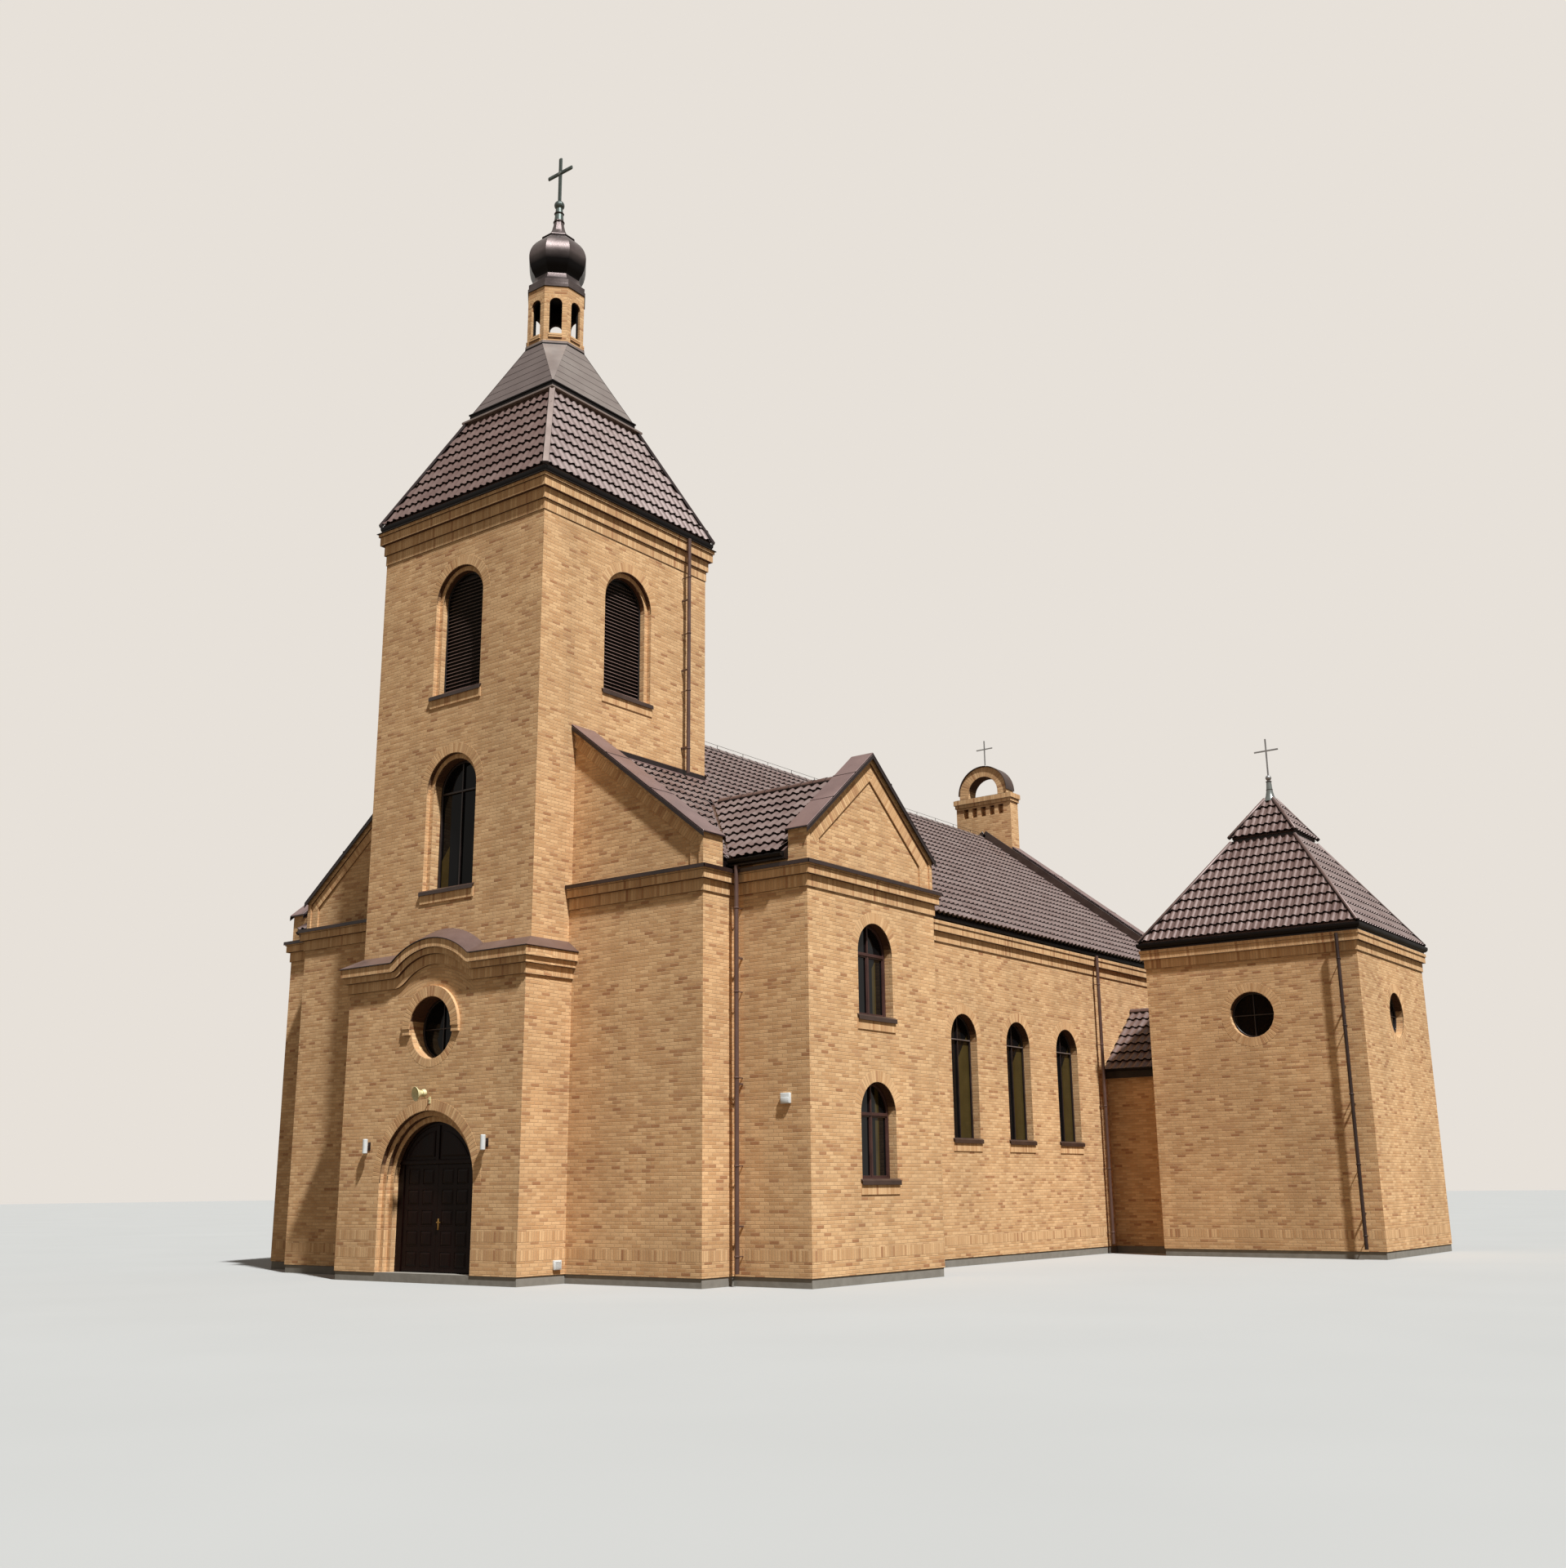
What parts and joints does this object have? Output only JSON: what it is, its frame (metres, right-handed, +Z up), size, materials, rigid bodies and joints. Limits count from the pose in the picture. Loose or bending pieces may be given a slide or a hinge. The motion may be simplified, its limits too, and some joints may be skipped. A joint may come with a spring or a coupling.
{
  "type": "brick church building",
  "caption": "Brick church: square tower with a hipped roof, open lantern and onion dome, gabled cross bays, tiled nave, linked side tower and double entrance doors.",
  "frame": {"origin": "on the ground, under the middle of the main doorway and in the plane of the tower shaft's front face", "axes": "+Z up, -Y out of the front with the main doorway, +X to the right of someone who looks at the front"},
  "size_m": [24.45, 26.855, 30.52],
  "materials": {
    "brick": "matte",
    "concrete": "matte",
    "roof_tile": "satin",
    "sheet_metal": "satin",
    "dark_metal": "satin",
    "iron": "matte",
    "wood": "satin",
    "glass": "gloss"
  },
  "bodies": {
    "building": {"church_floor": "concrete", "gallery_floor": "concrete", "belfry_floor": "concrete", "porch_pier_right": "brick", "porch_pier_left": "brick", "porch_arch_wall": "brick", "porch_flashing": "sheet_metal", "tower_front_wall": "brick", "tower_side_wall_right": "brick", "tower_side_wall_left": "brick", "tower_back_wall": "brick", "front_gable_wall_right": "brick", "front_gable_wall_left": "brick", "bay_walls_right": "brick", "bay_walls_left": "brick", "nave_wall_right": "brick", "nave_wall_left": "brick", "end_wall": "brick", "bell_cote": "brick", "bell_cote_cross": "iron", "nave_roof_right": "roof_tile", "nave_roof_left": "roof_tile", "bay_roof_right": "roof_tile", "bay_roof_left": "roof_tile", "nave_gutter_right": "dark_metal", "nave_gutter_left": "dark_metal", "tower_roof_lower": "roof_tile", "tower_roof_upper": "sheet_metal", "lantern": "brick", "onion_dome": "dark_metal", "tower_cross": "iron", "belfry_louvre_front": "wood", "belfry_louvre_right": "wood", "belfry_louvre_back": "wood", "belfry_louvre_left": "wood", "tower_window": "glass", "oculus_window": "glass", "nave_windows_right": "glass", "nave_windows_left": "glass", "bay_windows_right": "glass", "bay_windows_left": "glass", "door_frame": "wood", "side_floor": "concrete", "link_front_wall": "brick", "link_back_wall": "brick", "link_roof": "roof_tile", "side_tower_walls": "brick", "side_tower_roof": "roof_tile", "side_tower_cross": "iron", "side_window_front": "glass", "side_window_back": "glass", "side_window_right": "glass", "side_downpipe": "dark_metal", "tower_downpipe": "dark_metal", "valley_downpipe_right": "dark_metal", "valley_downpipe_left": "dark_metal"},
    "leaf_right": {"door_leaf_right": "wood"},
    "leaf_left": {"door_leaf_left": "wood"}
  },
  "joints": [
    {"name": "door_right", "type": "hinge", "parent": "building", "child": "leaf_right", "pos_m": [1.153, 0.206, 1.4], "axis": [0, 0, -1], "range_deg": [0, 90]},
    {"name": "door_left", "type": "hinge", "parent": "building", "child": "leaf_left", "pos_m": [-1.153, 0.206, 1.4], "axis": [0, 0, 1], "range_deg": [0, 90]}
  ]
}
